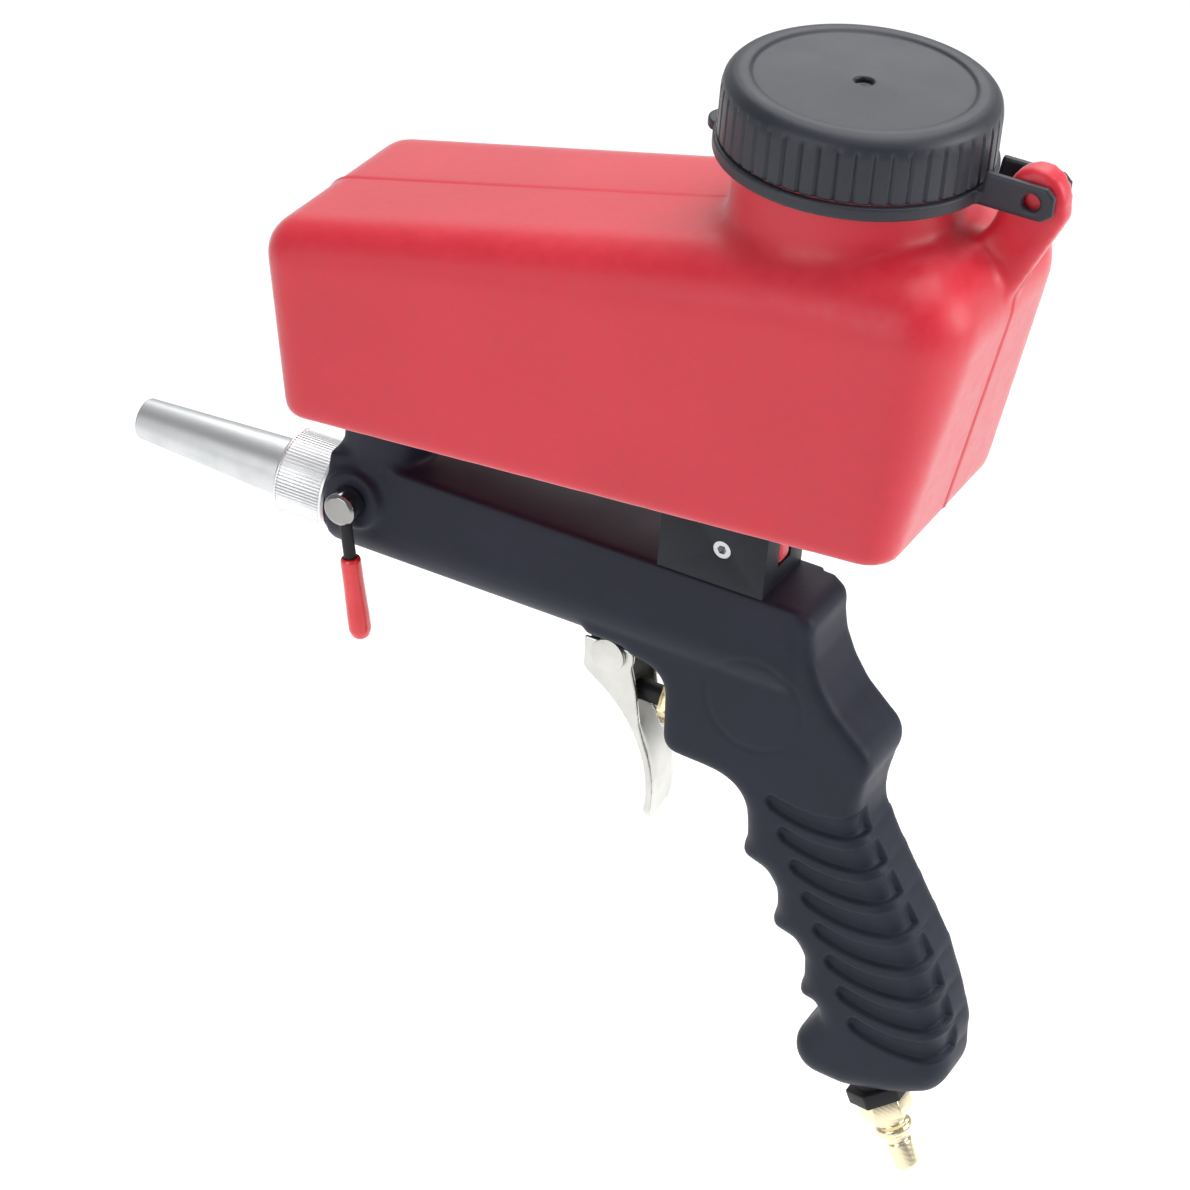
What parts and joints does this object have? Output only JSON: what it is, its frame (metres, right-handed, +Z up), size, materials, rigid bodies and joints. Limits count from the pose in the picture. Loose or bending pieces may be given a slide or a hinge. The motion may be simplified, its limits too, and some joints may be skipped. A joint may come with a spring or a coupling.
{
  "type": "gravity-feed blast gun",
  "caption": "Hand-held gravity-feed abrasive blast gun: die-cast pistol body with trigger valve and nozzle, wedge-shaped plastic hopper with a flip-up screw cap on top.",
  "frame": {"origin": "middle of the grip, on the gun's middle plane", "axes": "+X to the rear along the barrel (the nozzle points along -X), +Y to the gun's right side seen from behind, +Z up towards the hopper"},
  "size_m": [0.2945, 0.0838, 0.3542],
  "materials": {
    "gun_paint": "fine-textured dark blue-grey powder coat",
    "red_plastic": "blow-moulded red polyethylene, satin",
    "black_plastic": "dark grey moulded plastic",
    "rubber": "black rubber",
    "aluminium": "turned and satin",
    "block_metal": "dark coated aluminium",
    "chrome": "bright plated",
    "steel": "plated steel",
    "black_steel": "black finished steel",
    "brass": "turned brass",
    "red_vinyl": "soft dipped vinyl",
    "liner": "off-white foam card"
  },
  "bodies": {
    "gun": {"gun_body": "gun_paint", "hopper": "red_plastic", "hopper_gasket": "rubber", "mount_block": "block_metal", "set_screw": "steel", "block_screws": "steel", "nozzle": "aluminium", "nozzle_washer": "rubber", "air_jet": "brass", "jet_o_ring": "rubber", "trigger_pin": "steel", "pin_clip": "steel", "valve_seat": "brass", "seat_o_ring": "rubber", "packing_nut": "brass", "stem_o_ring": "rubber", "inlet_bushing": "black_steel", "air_plug": "brass", "valve_spring": "steel"},
    "trigger": {"trigger": "chrome"},
    "valve_stem": {"valve_stem": "black_steel", "poppet_washer": "rubber"},
    "media_valve": {"media_spool": "chrome", "lever_rod": "black_steel", "lever_sleeve": "red_vinyl", "spool_o_rings": "rubber", "spool_clip": "steel"},
    "nozzle_nut": {"nozzle_nut": "aluminium"},
    "cap_ring": {"cap_ring": "black_plastic"},
    "cap": {"screw_cap": "black_plastic", "cap_liner": "liner"}
  },
  "joints": [
    {"name": "trigger_pull", "type": "hinge", "parent": "gun", "child": "trigger", "pos_m": [-0.085, 0, 0.0685], "axis": [0, -1, 0], "range_deg": [0, 10], "stiffness_Nm_per_rad": 0.6, "springref_deg": -20.05},
    {"name": "stem_slide", "type": "slide", "parent": "gun", "child": "valve_stem", "axis": [1, 0, 0], "range_m": [0, 0.0042], "deforming": ["valve_spring"]},
    {"name": "media_lever", "type": "hinge", "parent": "gun", "child": "media_valve", "pos_m": [-0.1705, 0, 0.0962], "axis": [0, -1, 0], "range_deg": [0, 90]},
    {"name": "nut_spin", "type": "hinge", "parent": "gun", "child": "nozzle_nut", "pos_m": [-0.189, 0, 0.088], "axis": [1, 0, 0], "continuous": true},
    {"name": "cap_flip", "type": "hinge", "parent": "gun", "child": "cap_ring", "pos_m": [0.0237, 0, 0.2516], "axis": [0, 1, 0], "range_deg": [0, 150]},
    {"name": "cap_spin", "type": "hinge", "parent": "cap_ring", "child": "cap", "pos_m": [-0.0295, 0, 0.258], "axis": [0, 0, 1], "continuous": true}
  ],
  "couplings": [
    {"joint": "stem_slide", "follows": "trigger_pull", "m_per_rad": 0.0232}
  ]
}
